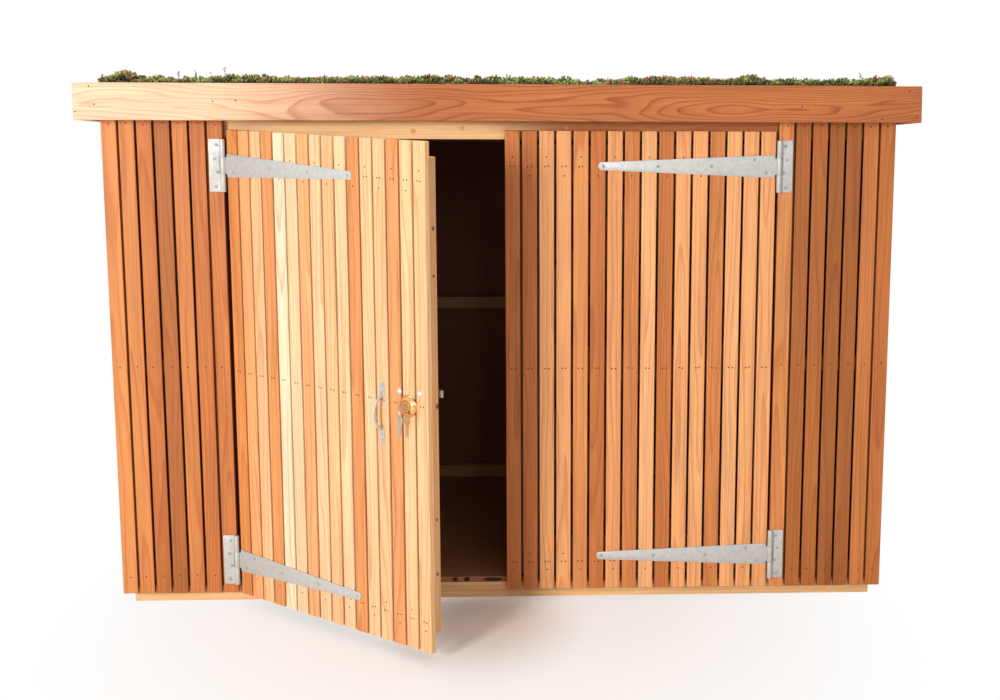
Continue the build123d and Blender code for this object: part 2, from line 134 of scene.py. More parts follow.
def distance(tree, place, centre, stretch=(1.0, 1.0, 1.0)):
    """How far a place is from a centre, with each direction stretched."""
    apart = vectors(tree, "MULTIPLY", vectors(tree, "SUBTRACT", place, centre), stretch)
    return add(tree, "ShaderNodeVectorMath", operation="LENGTH", out=1, I0=apart)


def object_place(tree):
    """Where a point is in its object's coordinates."""
    return add(tree, "ShaderNodeTexCoord", out=3)


def stored(tree, name):
    """A number that the mesh carries."""
    return add(tree, "ShaderNodeAttribute", out=2, attribute_name=name)


def blend_colour(tree, factor, first, second, kind="MIX"):
    made = tree.nodes.new("ShaderNodeMix")
    made.data_type = "RGBA"
    made.blend_type = kind
    for index, value in ((0, factor), (6, first), (7, second)):
        if isinstance(value, bpy.types.NodeSocket):
            tree.links.new(value, made.inputs[index])
        else:
            made.inputs[index].default_value = value
    return made.outputs[2]


def colour_ramp(tree, factor, *stops, easing="LINEAR"):
    """A ramp between colours: each stop is a place and a colour."""
    made = tree.nodes.new("ShaderNodeValToRGB")
    made.color_ramp.interpolation = easing
    while len(made.color_ramp.elements) < len(stops):
        made.color_ramp.elements.new(0.5)
    for element, (place, colour) in zip(made.color_ramp.elements, stops):
        element.position = place
        element.color = colour
    tree.links.new(factor, made.inputs[0])
    return made.outputs[0]


def ramp(tree, factor, *stops):
    """A smooth ramp between values: each stop is a place and a brightness."""
    greys = [(place, (level, level, level, 1)) for place, level in stops]
    return colour_ramp(tree, factor, *greys, easing="EASE")


def shaded(tree, colour, level):
    """A colour with its brightness multiplied by a level."""
    grey = add(tree, "ShaderNodeCombineColor", Red=level, Green=level, Blue=level)
    return blend_colour(tree, 1.0, colour, grey, "MULTIPLY")


def linear(red, green, blue):
    """A colour as seen on screen, 0 to 255, in the linear values that a shader takes."""
    out = []
    for level in (red, green, blue):
        level /= 255.0
        out.append(level / 12.92 if level <= 0.04045 else ((level + 0.055) / 1.055) ** 2.4)
    return (*out, 1.0)


def group(name, inputs, outputs):
    """An empty node group with its sockets; returns the tree, its inputs and its output node."""
    tree = bpy.data.node_groups.new(name, "ShaderNodeTree")
    for label, kind, value in inputs:
        socket = tree.interface.new_socket(label, in_out="INPUT", socket_type=kind)
        socket.default_value = value
    for label, kind in outputs:
        tree.interface.new_socket(label, in_out="OUTPUT", socket_type=kind)
    return tree, tree.nodes.new("NodeGroupInput").outputs, tree.nodes.new("NodeGroupOutput").inputs


FLOAT = "NodeSocketFloat"
VECTOR = "NodeSocketVector"


def make_timber_figure():
    """Growth rings round a pith, drawn out along the board, with fine fibre and slow patches."""
    tree, given, result = group(
        "timber_figure",
        [
            ("Grain", VECTOR, (0, 0, 0)), ("Rings", FLOAT, 90.0), ("Sway", FLOAT, 0.012),
            ("Stretch", FLOAT, 0.10),
        ],
        [("Rings", FLOAT), ("Fibre", FLOAT), ("Patches", FLOAT)],
    )
    grain = given["Grain"]
    stretch = add(tree, "ShaderNodeCombineXYZ", X=given["Stretch"], Y=1.0, Z=1.0)
    drawn = vectors(tree, "MULTIPLY", grain, stretch)
    slow = add(tree, "ShaderNodeTexNoise", out=1, Vector=drawn, Scale=9.0, Detail=2.0)
    centred = vectors(tree, "SUBTRACT", slow, (0.5, 0.5, 0.5))
    swayed = add(tree, "ShaderNodeVectorMath", operation="SCALE", I0=centred, Scale=given["Sway"])
    bent = vectors(tree, "ADD", drawn, swayed)
    rings = add(
        tree, "ShaderNodeTexWave", out=1, wave_type="RINGS", rings_direction="X", wave_profile="SAW",
        Vector=bent, Scale=given["Rings"], Distortion=0.6, Detail=2.0, Detail_Scale=1.5,
    )
    fine = vectors(tree, "MULTIPLY", grain, (5.0, 300.0, 300.0))
    fibre = add(tree, "ShaderNodeTexNoise", Vector=fine, Scale=1.0, Detail=3.0, Roughness=0.6)
    wide = vectors(tree, "MULTIPLY", grain, (2.2, 30.0, 30.0))
    patches = add(tree, "ShaderNodeTexNoise", Vector=wide, Scale=1.0, Detail=2.0)
    for label, value in (("Rings", rings), ("Fibre", fibre), ("Patches", patches)):
        tree.links.new(value, result[label])
    return tree


def make_knots():
    """Scattered knots that run through a board: a mask, darkest at the middle of each."""
    tree, given, result = group(
        "knots",
        [("Grain", VECTOR, (0, 0, 0)), ("Per metre", FLOAT, 5.0), ("Size", FLOAT, 0.05)],
        [("Knot", FLOAT), ("Halo", FLOAT)],
    )
    through = vectors(tree, "MULTIPLY", given["Grain"], (0.8, 1.0, 0.16))
    cells = add(tree, "ShaderNodeTexVoronoi", Vector=through, Scale=given["Per metre"], Randomness=1.0)
    inside = maths(tree, "DIVIDE", cells, given["Size"])
    knot = inverse(tree, ramp(tree, inside, (0.55, 0.0), (1.0, 1.0)))
    around = maths(tree, "MULTIPLY", inside, 0.3)
    halo = inverse(tree, ramp(tree, around, (0.2, 0.0), (1.0, 1.0)))
    tree.links.new(knot, result["Knot"])
    tree.links.new(halo, result["Halo"])
    return tree


def make_spangle():
    """The crystals of a zinc coat and its dull blotches."""
    tree, given, result = group(
        "zinc_spangle",
        [("Vector", VECTOR, (0, 0, 0)), ("Per metre", FLOAT, 130.0)],
        [("Crystal", FLOAT), ("Blotch", FLOAT)],
    )
    cells = add(tree, "ShaderNodeTexVoronoi", out=1, Vector=given["Vector"], Scale=given["Per metre"])
    crystal = add(tree, "ShaderNodeSeparateXYZ", Vector=cells)
    blotch = add(tree, "ShaderNodeTexNoise", Vector=given["Vector"], Scale=45.0, Detail=4.0, Roughness=0.65)
    tree.links.new(crystal, result["Crystal"])
    tree.links.new(blotch, result["Blotch"])
    return tree


TIMBER_FIGURE = make_timber_figure()
KNOTS = make_knots()
SPANGLE = make_spangle()


def use(tree, made_group, **values):
    """Place a group in a material and return its outputs by name."""
    made = tree.nodes.new("ShaderNodeGroup")
    made.node_tree = made_group
    for name, value in values.items():
        socket = made.inputs[name.replace("_", " ")]
        if isinstance(value, bpy.types.NodeSocket):
            tree.links.new(value, socket)
        else:
            socket.default_value = value
    return made.outputs


def new_material(name, roughness=0.6, metallic=0.0, specular=0.35):
    material = bpy.data.materials.new(name)
    material.use_nodes = True
    tree = material.node_tree
    shader = tree.nodes["Principled BSDF"]
    shader.inputs["Roughness"].default_value = roughness
    shader.inputs["Metallic"].default_value = metallic
    shader.inputs["Specular IOR Level"].default_value = specular
    return material, tree, shader.inputs


def bump(tree, height, strength, distance):
    return add(tree, "ShaderNodeBump", Height=height, Strength=strength, Distance=distance)


def timber(
    name, tints, ring_scale, sway, ring_mix, knotty=0.0, stretch=0.10, sap_and_lit_end=None, painted_slot_shade=False, spots=(),
    shade_behind=False,
):
    """Planed timber. The tone of each board picks its tint.

    knotty is how many knots a metre has, and spots are knots at places of their own. sap_and_lit_end is a
    paler left end that fades from x to x: sapwood on the fascia, and on the lintel the unshaded part beside
    the painted shade of its darker tints. painted_slot_shade paints shade on the sides of slats, and
    shade_behind paints shade on what they cover.
    """
    roughness = 0.55
    material, tree, shader = new_material(name, roughness)
    grain = add(tree, "ShaderNodeAttribute", out=1, attribute_name="grain")
    tone = stored(tree, "tone")
    figure = use(tree, TIMBER_FIGURE, Grain=grain, Rings=ring_scale, Sway=sway, Stretch=stretch)
    rings = ramp(tree, figure["Rings"], (0.0, 0.0), (0.55, 0.18), (0.92, 1.0), (1.0, 0.2))
    early = colour_ramp(tree, tone, *tints)
    # A paler left end: sapwood on the fascia; on the lintel it is the unshaded part, and its darker tints
    # are painted shade
    if sap_and_lit_end:
        along = add(tree, "ShaderNodeSeparateXYZ", Vector=object_place(tree))
        pale, start, end = sap_and_lit_end
        drift = maths(tree, "ADD", along, maths(tree, "MULTIPLY", figure["Patches"], 0.5))
        passed = maths(tree, "DIVIDE", maths(tree, "SUBTRACT", drift, start + 0.25), end - start)
        paler = inverse(tree, ramp(tree, passed, (0.0, 0.0), (1.0, 1.0)))
        early = blend_colour(tree, paler, early, pale)
        faint = inverse(tree, maths(tree, "MULTIPLY", paler, 0.5))
        rings = maths(tree, "MULTIPLY", rings, faint)
    late = shade_red(tree, early)
    colour = blend_colour(tree, maths(tree, "MULTIPLY", rings, ring_mix), early, late)
    streak = maths(tree, "MULTIPLY_ADD", figure["Fibre"], 0.72, 0.64)
    patch = maths(tree, "MULTIPLY_ADD", figure["Patches"], 0.48, 0.76)
    level = maths(tree, "MULTIPLY", streak, patch)
    if painted_slot_shade:
        # Painted shade: the sides that face each other across a gap are darkened, since they are hardly lit
        inset = stored(tree, "inset")
        depth = maths(tree, "DIVIDE", inset, BATTEN_T)
        slot_shade_level = ramp(tree, depth, (0.10, 1.0), (0.60, 0.10), (0.91, 0.10), (1.0, 0.85))
        level = maths(tree, "MULTIPLY", level, slot_shade_level)
    colour = shaded(tree, colour, level)
    height = maths(tree, "ADD", maths(tree, "MULTIPLY", rings, 0.5), figure["Fibre"])
    if knotty:
        knots = use(tree, KNOTS, Grain=grain, Per_metre=knotty)
        colour = blend_colour(tree, maths(tree, "MULTIPLY", knots["Halo"], 0.35), colour, late)
        colour = blend_colour(tree, maths(tree, "MULTIPLY", knots["Knot"], 0.8), colour, KNOT_BROWN)
    if shade_behind:
        # Painted shade: the face that the slats cover only shows in their gaps, where it is painted dark
        # brown for the shade there
        inset = stored(tree, "inset")
        colour = blend_colour(tree, maths(tree, "LESS_THAN", inset, 0.0008), colour, GAP_SHADE)
    for knot, size, tint in spots:
        reach = maths(tree, "DIVIDE", distance(tree, object_place(tree), knot), size)
        spot = inverse(tree, ramp(tree, reach, (0.35, 0.0), (1.0, 1.0)))
        colour = blend_colour(tree, maths(tree, "MULTIPLY", spot, 0.85), colour, tint)
    tree.links.new(colour, shader["Base Color"])
    rough = maths(tree, "MULTIPLY_ADD", figure["Fibre"], 0.18, roughness - 0.09)
    tree.links.new(rough, shader["Roughness"])
    tree.links.new(bump(tree, height, 0.35, 0.0006), shader["Normal"])
    return material


def stile_edge(back, z):
    """A place on the free edge of the open left leaf, back from the face of its slats."""
    from_axis = Matrix.Rotation(-DOOR_ANGLE, 3, "Z") @ Vector((STILE_EDGE, AXIS_GAP + back, z))
    return from_axis + Vector((-HINGE_X, AXIS_Y, 0))


def shade_red(tree, colour):
    """The same wood in its late growth: darker, with less green and blue."""
    return blend_colour(tree, 1.0, colour, (0.66, 0.44, 0.34, 1.0), "MULTIPLY")


def plywood(name, face, core, voids=()):
    """Plywood: a plain peeled face, its layers where it is cut, and voids in its front edge."""
    material, tree, shader = new_material(name, 0.7)
    grain = add(tree, "ShaderNodeAttribute", out=1, attribute_name="grain")
    depth = add(tree, "ShaderNodeSeparateXYZ", out=2, Vector=grain)
    layer = maths(tree, "PINGPONG", depth, PLY_LAYER)
    stripe = ramp(tree, maths(tree, "DIVIDE", layer, PLY_LAYER), (0.40, 0.0), (0.60, 1.0))
    figure = use(tree, TIMBER_FIGURE, Grain=grain, Rings=26.0, Sway=0.20, Stretch=0.35)
    rings = ramp(tree, figure["Rings"], (0.0, 0.0), (0.7, 0.3), (0.95, 1.0), (1.0, 0.3))
    colour = blend_colour(tree, maths(tree, "MULTIPLY", rings, 0.45), face, core)
    colour = blend_colour(tree, maths(tree, "MULTIPLY", stripe, 0.5), colour, core)
    level = maths(tree, "MULTIPLY_ADD", figure["Fibre"], 0.35, 0.82)
    tone = stored(tree, "tone")
    level = maths(tree, "MULTIPLY", level, maths(tree, "ADD", tone, 0.5))
    colour = shaded(tree, colour, level)
    # The voids are dark spots of painted shade, with no hollow in the mesh
    for x, z, wide, high in voids:
        stretch = (2 / wide, 1 / VOID_DEPTH, 2 / high)
        reach = distance(tree, object_place(tree), (x, FRAME_FRONT, z), stretch)
        void_shade = maths(tree, "LESS_THAN", reach, 1.0)
        colour = blend_colour(tree, void_shade, colour, linear(38, 22, 14))
    tree.links.new(colour, shader["Base Color"])
    tree.links.new(bump(tree, figure["Fibre"], 0.3, 0.0005), shader["Normal"])
    return material


def zinc(name, colour, dull, roughness=0.5):
    """Hot dip galvanised steel."""
    material, tree, shader = new_material(name, roughness, 0.25, 0.5)
    place = object_place(tree)
    coat = use(tree, SPANGLE, Vector=place)
    mixed = blend_colour(tree, maths(tree, "MULTIPLY", coat["Crystal"], 0.4), colour, dull)
    blotch = ramp(tree, coat["Blotch"], (0.45, 0.0), (0.70, 1.0))
    mixed = blend_colour(tree, maths(tree, "MULTIPLY", blotch, 0.3), mixed, dull)
    tree.links.new(mixed, shader["Base Color"])
    rough = maths(tree, "MULTIPLY_ADD", coat["Crystal"], 0.2, roughness - 0.1)
    tree.links.new(rough, shader["Roughness"])
    tree.links.new(bump(tree, coat["Blotch"], 0.12, 0.0005), shader["Normal"])
    return material


def bright_metal(name, colour, roughness):
    """Polished brass, nickel or steel with fine wear."""
    scratch = 0.15
    material, tree, shader = new_material(name, roughness, 1.0, 0.5)
    place = object_place(tree)
    wear = add(tree, "ShaderNodeTexNoise", Vector=place, Scale=260.0, Detail=4.0, Roughness=0.7)
    darker = tuple(level * 0.72 for level in colour[:3]) + (1.0,)
    worn = blend_colour(tree, maths(tree, "MULTIPLY", wear, 0.5), colour, darker)
    tree.links.new(worn, shader["Base Color"])
    rough = maths(tree, "MULTIPLY_ADD", wear, scratch, max(roughness - scratch / 2, 0.02))
    tree.links.new(rough, shader["Roughness"])
    tree.links.new(bump(tree, wear, 0.08, 0.0002), shader["Normal"])
    return material


def enamel(name, colour):
    """Dark paint or oxide with a faint orange peel."""
    material, tree, shader = new_material(name, 0.42)
    place = object_place(tree)
    peel = add(tree, "ShaderNodeTexNoise", Vector=place, Scale=400.0, Detail=2.0)
    lighter = tuple(level * 1.8 for level in colour[:3]) + (1.0,)
    mottled = blend_colour(tree, maths(tree, "MULTIPLY", peel, 0.4), colour, lighter)
    tree.links.new(mottled, shader["Base Color"])
    tree.links.new(bump(tree, peel, 0.2, 0.0003), shader["Normal"])
    return material


def earth(name, first, second, third, scale):
    """Loose grains or leaves in three colours."""
    material, tree, shader = new_material(name, 0.9, specular=0.2)
    place = object_place(tree)
    cells = add(tree, "ShaderNodeTexVoronoi", out=1, Vector=place, Scale=scale)
    pick = add(tree, "ShaderNodeSeparateXYZ", Vector=cells)
    broad = add(tree, "ShaderNodeTexNoise", Vector=place, Scale=scale / 25, Detail=3.0)
    colour = blend_colour(tree, ramp(tree, broad, (0.42, 0.0), (0.60, 1.0)), first, second)
    colour = blend_colour(tree, ramp(tree, pick, (0.55, 0.0), (0.75, 1.0)), colour, third)
    tree.links.new(colour, shader["Base Color"])
    tree.links.new(bump(tree, pick, 0.6, 0.002), shader["Normal"])
    return material


PLY_LAYER = 0.0026
VOID_DEPTH = 0.004
KNOT_BROWN = linear(104, 58, 30)
EDGE_KNOT = linear(110, 60, 32)
LINTEL_KNOT = linear(222, 140, 82)
# The dark brown of the leaf framing seen in the gaps between slats: painted shade
GAP_SHADE = linear(112, 60, 32)
CEDAR_TINTS = (
    (0.0, linear(150, 87, 36)), (0.25, linear(190, 112, 55)), (0.5, linear(215, 140, 79)),
    (0.7, linear(239, 172, 115)), (0.85, linear(244, 197, 148)), (1.0, linear(246, 226, 190)),
)
FASCIA_TINTS = ((0.0, linear(162, 88, 42)), (1.0, linear(210, 130, 74)))
PINE_TINTS = ((0.0, linear(214, 152, 94)), (1.0, linear(250, 208, 152)))
# Darker copies of the pine tints for the framing inside: painted shade
SHADED_PINE_TINTS = ((0.0, linear(130, 84, 50)), (1.0, linear(164, 116, 76)))
CEDAR = timber("cedar_cladding", CEDAR_TINTS, 48.0, 0.06, 0.5, painted_slot_shade=True)
FASCIA_CEDAR = timber(
    "cedar_fascia", FASCIA_TINTS, 54.0, 0.10, 0.90, stretch=0.16, sap_and_lit_end=(linear(244, 203, 168), -0.85, -0.18),
)
PINE = timber("pine_framing", PINE_TINTS, 44.0, 0.02, 0.30, knotty=4.0)
LEAF_PINE = timber("pine_leaf_framing", PINE_TINTS, 44.0, 0.02, 0.30, knotty=4.0, shade_behind=True)
# The lintel's darker tints are painted shade over its right part; its pale left end is unshaded pine
SHADED_LINTEL_TINTS = ((0.0, linear(180, 106, 58)), (1.0, linear(206, 130, 76)))
LINTEL_KNOTS = [
    ((x, FRAME_FRONT, z), size, LINTEL_KNOT)
    for x, z, size in ((-0.230, 1.247, 0.009), (-0.105, 1.255, 0.008), (0.161, 1.257, 0.007))
]
LINTEL_PINE = timber(
    "pine_lintel", SHADED_LINTEL_TINTS, 44.0, 0.03, 0.40, knotty=3.0, sap_and_lit_end=(linear(250, 204, 146), -0.15, 0.14),
    spots=LINTEL_KNOTS,
)
STILE_KNOTS = [
    (stile_edge(back, z), size, EDGE_KNOT)
    for back, z, size in (
        (0.043, 0.215, 0.007), (0.043, 0.350, 0.006), (0.051, 0.626, 0.010), (0.043, 0.937, 0.006),
        (0.043, 1.048, 0.007),
    )
]
STILE_PINE = timber("pine_stile", PINE_TINTS, 44.0, 0.02, 0.30, knotty=4.0, spots=STILE_KNOTS, shade_behind=True)
# The framing inside takes the darker pine tints, which are painted shade
INSIDE_PINE = timber("pine_framing_inside", SHADED_PINE_TINTS, 44.0, 0.02, 0.30, knotty=4.0)
FLOOR_PLY = plywood(
    "floor_plywood", linear(172, 116, 74), linear(116, 70, 42),
    [(-0.136, 0.050, 0.014, 0.013), (-0.105, 0.050, 0.016, 0.013), (-0.035, 0.049, 0.050, 0.011)],
)
WALL_PLY = plywood("wall_plywood", linear(124, 68, 42), linear(86, 46, 30))
ZINC = zinc("galvanised_ironwork", linear(197, 198, 196), linear(174, 176, 174))
BRASS = bright_metal("polished_brass", linear(242, 192, 132), 0.16)
NICKEL = bright_metal("nickel_keys", linear(214, 214, 210), 0.22)
STEEL = bright_metal("plated_steel", linear(196, 194, 190), 0.34)
BOLT_ZINC = zinc("plated_bolts", linear(214, 214, 211), linear(190, 190, 188))
SCREW_ZINC = zinc("screw_heads", linear(178, 179, 177), linear(138, 140, 138), 0.4)
BLACK = enamel("lock_case_enamel", linear(34, 34, 36))
# The nail heads are coloured dark partly as painted shade of the holes they sit in
NAIL = enamel("nail_steel", linear(52, 34, 24))
SOIL = earth("roof_substrate", linear(70, 52, 40), linear(92, 66, 50), linear(120, 82, 62), 220.0)
MOSS = earth("sedum_base", linear(66, 74, 40), linear(84, 76, 48), linear(104, 74, 52), 160.0)


# Timber pieces: each board of a node gets eased edges, its own grain direction and its own tone

def put(shape, name, body, material, replaced=(), smooth=False):
    """Make a finished shape an object of the model."""
    mesh = bpy.data.meshes.new(name)
    shape.to_mesh(mesh)
    shape.free()
    for polygon in mesh.polygons:
        polygon.use_smooth = bool(smooth)
    if smooth and smooth is not True:
        mesh.set_sharp_from_angle(angle=smooth)
    piece = link(name, mesh)
    mesh.materials.append(material)
    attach(piece, body)
    if replaced:
        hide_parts(*replaced)
    return piece


def islands(shape):
    """The separate boards in a shape, as lists of vertices, in the order of the mesh."""
    left = set(shape.verts)
    found = []
    for first in shape.verts:
        if first not in left:
            continue
        left.remove(first)
        stack = [first]
        board = []
        while stack:
            vert = stack.pop()
            board.append(vert)
            for edge in vert.link_edges:
                other = edge.other_vert(vert)
                if other in left:
                    left.remove(other)
                    stack.append(other)
        found.append(board)
    return found


def face_rank(face):
    """The order of faces: the largest, then the ones that look to the front, up and to the right."""
    look = face.normal
    return round(face.calc_area(), 5), round(-look.y, 2), round(look.z, 2), round(look.x, 2)


def board_axes(board):
    """Directions along, across and through a board, from its longest edge and its largest face.

    Edges and faces of one size are told apart by their order and by where they look, so that each
    run takes the same ones.
    """
    edges = dict.fromkeys(edge for vert in board for edge in vert.link_edges)
    longest = max(edges, key=lambda edge: round(edge.calc_length(), 5))
    along = (longest.verts[1].co - longest.verts[0].co).normalized()
    if max(along, key=lambda part: round(abs(part), 3)) < 0:
        along.negate()
    faces = dict.fromkeys(face for vert in board for face in vert.link_faces)
    through = max(faces, key=face_rank).normal.copy()
    through = (through - along * through.dot(along)).normalized()
    return along, through.cross(along).normalized(), through


def copy_of(node, closeness):
    """A copy of a node's mesh with its doubled points joined and its flat faces whole."""
    shape = bmesh.new()
    shape.from_mesh(nodes[node].data)
    bmesh.ops.remove_doubles(shape, verts=shape.verts, dist=closeness)
    bmesh.ops.dissolve_limit(shape, angle_limit=math.radians(1), verts=shape.verts, edges=shape.edges)
    return shape


def ease_edges(shape, sharpest, offset):
    """Round the edges that turn by more than an angle."""
    sharp = [edge for edge in shape.edges if edge.calc_face_angle(0) > sharpest]
    bmesh.ops.bevel(
        shape, geom=sharp, offset=offset, offset_type="OFFSET", segments=2, profile=0.5,
        affect="EDGES", material=-1, clamp_overlap=True,
    )


def boards(node, body, material, tones=None, ease=0.0012, seed=1, spread=0.15, middle_tone=0.5):
    """Stand a softened copy of each board in a timber node in its place.

    Each point gets its place in the grain, the tone of its board and how far it is in from the board's
    outer face. Without tones, each board draws its own within spread of middle_tone.
    """
    rng = random.Random(seed)
    shape = copy_of(node, 0.00002)
    grain = shape.verts.layers.float_vector.new("grain")
    tone = shape.verts.layers.float.new("tone")
    inset = shape.verts.layers.float.new("inset")
    found = []
    for board in islands(shape):
        middle = sum((vert.co for vert in board), Vector()) / len(board)
        found.append((middle, board, board_axes(board)))
    found.sort(key=lambda item: (round(item[0].x, 3), round(item[0].y, 3), item[0].z))
    for index, (middle, board, axes) in enumerate(found):
        along, across, through = axes
        shift = Vector((rng.uniform(0, 9), rng.uniform(-0.035, 0.035), rng.uniform(0.012, 0.055)))
        level = tones[index] if tones else middle_tone + rng.uniform(-spread, spread)
        outward = 1 if through.x * middle.x + through.y * middle.y > 0 else -1
        thick = 2 * max((vert.co - middle).dot(through) for vert in board)
        # The open leaf's slats take a lighter painted slot shade
        depth = 0.55 if node == "left_door_battens" else 1.0
        for vert in board:
            from_middle = vert.co - middle
            place = Vector((from_middle.dot(along), from_middle.dot(across), from_middle.dot(through)))
            vert[grain] = place + shift
            vert[tone] = level
            if "battens" not in node or 0 < index < len(found) - 1:
                vert[inset] = (thick / 2 - outward * place.z) * depth
    if ease:
        ease_edges(shape, math.radians(20), ease)
    if "battens" in node:
        # The backs of the battens keep their wood colour: only their sides take the painted slot shade
        shape.normal_update()
        for vert in shape.verts:
            if vert[inset] > BATTEN_T / 4:
                at_back = any(face.normal.dot(through) * outward < -0.99 for face in vert.link_faces)
                vert[inset] = BATTEN_T if at_back else 0.9 * BATTEN_T * depth
    return put(shape, node + "_boards", body, material, (node,))


# Tints of the battens from left to right: 0 is the darkest cedar and 1 the palest
LEFT_PANEL = [0.50, 0.42, 0.24, 0.12, 0.38, 0.26, 0.30]
RIGHT_PANEL = [0.50, 0.14, 0.16, 0.06, 0.08, 0.34, 0.26]
LEFT_DOOR = [0.50, 0.70, 0.82, 0.58, 1.00, 0.90, 0.72, 0.88, 0.80, 0.88, 0.56, 0.86, 0.82, 0.60, 0.83, 0.83]
RIGHT_DOOR = [0.31, 0.26, 0.67, 0.66, 0.52, 0.28, 0.62, 0.40, 0.73, 0.28, 0.66, 0.68, 0.42, 0.71, 0.68, 0.66]

boards("front_left_battens", "shelter", CEDAR, LEFT_PANEL, 0.0018, seed=11)
boards("front_right_battens", "shelter", CEDAR, RIGHT_PANEL, 0.0018, seed=12)
boards("left_door_battens", "left_door", CEDAR, LEFT_DOOR, 0.0018, seed=13)
boards("right_door_battens", "right_door", CEDAR, RIGHT_DOOR, 0.0018, seed=14)
for index, node in enumerate(("left_side_battens", "right_side_battens", "back_battens")):
    boards(node, "shelter", CEDAR, seed=15 + index, spread=0.26, middle_tone=0.34)
for index, node in enumerate(("front_fascia", "back_fascia", "side_fascias")):
    boards(node, "shelter", FASCIA_CEDAR, seed=21 + index, ease=0.002)
for index, node in enumerate((
    "base_joists", "wall_posts", "wall_studs", "front_panel_rails", "side_wall_rails",
    "back_wall_rails", "roof_rim", "roof_joists",
)):
    boards(node, "shelter", INSIDE_PINE, seed=31 + index, ease=0.0015)
boards("front_lintel", "shelter", LINTEL_PINE, seed=45, ease=0.0015)
boards("base_bearers", "shelter", PINE, seed=46, ease=0.0015)
for word, body in (("left", "left_door"), ("right", "right_door")):
    for index, part in enumerate(("stiles", "rails", "braces")):
        finish = STILE_PINE if (word, part) == ("left", "stiles") else LEAF_PINE
        boards(f"{word}_door_{part}", body, finish, seed=51 + index, ease=0.0015)
boards("floor_deck", "shelter", FLOOR_PLY, seed=61, ease=0.0005)
for index, node in enumerate(("side_sheathing", "back_sheathing", "roof_deck")):
    boards(node, "shelter", WALL_PLY, seed=62 + index, ease=0.0)

# Ironwork and the growing layer keep their own shape and take their finish
FINISHES = {
    "pull_handle": ZINC, "lock_rose": BRASS, "lock_cylinder": BRASS,
    "lock_key": NICKEL, "key_ring": NICKEL, "lock_case": BLACK, "lock_bolt": STEEL,
    "lock_keep": ZINC, "tower_bolts": ZINC, "roof_substrate": SOIL,
}
for node, finish in FINISHES.items():
    mesh = nodes[node].data
    mesh.materials.clear()
    mesh.materials.append(finish)


def ironwork(node, body):
    """Stand a copy of a node of plate ironwork, with its cut edges eased, in its place."""
    shape = copy_of(node, 0.00001)
    ease_edges(shape, math.radians(50), 0.0006)
    put(shape, node + "_eased", body, ZINC, (node,), smooth=math.radians(32))


for word in ("left", "right"):
    ironwork(f"{word}_hinge_plates", "shelter")
    ironwork(f"{word}_hinge_straps", f"{word}_door")


def face_of(side):
    """The slatted face of a leaf: x along it from the hinge, y up and z outwards."""
    if side > 0:
        along = Vector((math.cos(DOOR_ANGLE), -math.sin(DOOR_ANGLE), 0))
        origin = Vector((-HINGE_X, AXIS_Y, 0))
    else:
        along = Vector((1, 0, 0))
        origin = Vector((HINGE_X, AXIS_Y, 0))
    up = Vector((0, 0, 1))
    out = along.cross(up)
    origin = origin - out * AXIS_GAP
    turn = Matrix((along, up, out)).transposed().to_4x4()
    return Matrix.Translation(origin) @ turn


def front_face(y):
    """A fixed face that looks to the front: x to the right, y up and z outwards."""
    return Matrix.Translation((0, y, 0)) @ Matrix.Rotation(math.radians(90), 4, "X")


LEFT_FACE = face_of(1)
RIGHT_FACE = face_of(-1)
PANEL_FACE = front_face(FRONT_Y)


def turned(profile, steps):
    """Spin a profile of radius and height about the face's normal."""
    shape = bmesh.new()
    verts = [shape.verts.new((radius, 0, height)) for radius, height in profile]
    edges = [shape.edges.new(pair) for pair in zip(verts, verts[1:])]
    bmesh.ops.spin(
        shape, geom=verts + edges, cent=(0, 0, 0), axis=(0, 0, 1), dvec=(0, 0, 0),
        angle=math.tau, steps=steps, use_merge=True, use_duplicate=False,
    )
    bmesh.ops.remove_doubles(shape, verts=shape.verts, dist=0.00002)
    bmesh.ops.recalc_face_normals(shape, faces=shape.faces)
    mesh = bpy.data.meshes.new("head")
    shape.to_mesh(mesh)
    shape.free()
    return mesh


def heads(name, body, material, face, places, profile, steps=12):
    """Heads of nails or screws on a face, all of one profile."""
    head = turned(profile, steps)
    shape = bmesh.new()
    for x, y, lift in places:
        placed = head.copy()
        placed.transform(face @ Matrix.Translation((x, y, lift)))
        shape.from_mesh(placed)
        bpy.data.meshes.remove(placed)
    return put(shape, name, body, material, smooth=True)


NAIL_HEAD = [(0.0, -0.0005), (0.0021, -0.0005), (0.0021, 0.0001), (0.0015, 0.0003), (0.0, 0.0003)]
SCREW_HEAD = [
    (0.0, 0.0008), (0.0014, 0.0008), (0.0016, 0.0024), (0.0030, 0.0020), (0.0042, 0.0006), (0.0042, -0.0006),
    (0.0, -0.0006),
]
BOLT_HEAD = [
    (0.0, 0.0048), (0.0028, 0.0046), (0.0056, 0.0034), (0.0076, 0.0014), (0.0082, 0.0), (0.0082, -0.0010),
    (0.0, -0.0010),
]


NAIL_PAIR = 0.0048  # half of the gap between a pair of nails


def slat_nails(side, face, body, name):
    """Nails through the slats of a leaf into its three rails."""
    rng = random.Random(71 + side)
    places = []
    for index in range(DOOR_SLATS):
        middle = FIRST_SLAT + index * PITCH + BATTEN_W / 2
        odd = index % 2
        upper, lower = (0.024, -0.022) if odd else (-0.024, 0.022)
        for level, single in ((1.160, upper), (0.632, 0.0), (0.105, lower)):
            for way in (-1, 1):
                x = middle + way * NAIL_PAIR + rng.uniform(-0.001, 0.001)
                places.append((x, level + rng.uniform(-0.001, 0.001)))
            if single:
                places.append((middle + rng.uniform(-0.002, 0.002), level + single))
    clear = [(side * x, y, 0.0) for x, y in places if not under_strap(x, y)]
    heads(name, body, NAIL, face, clear, NAIL_HEAD, steps=8)


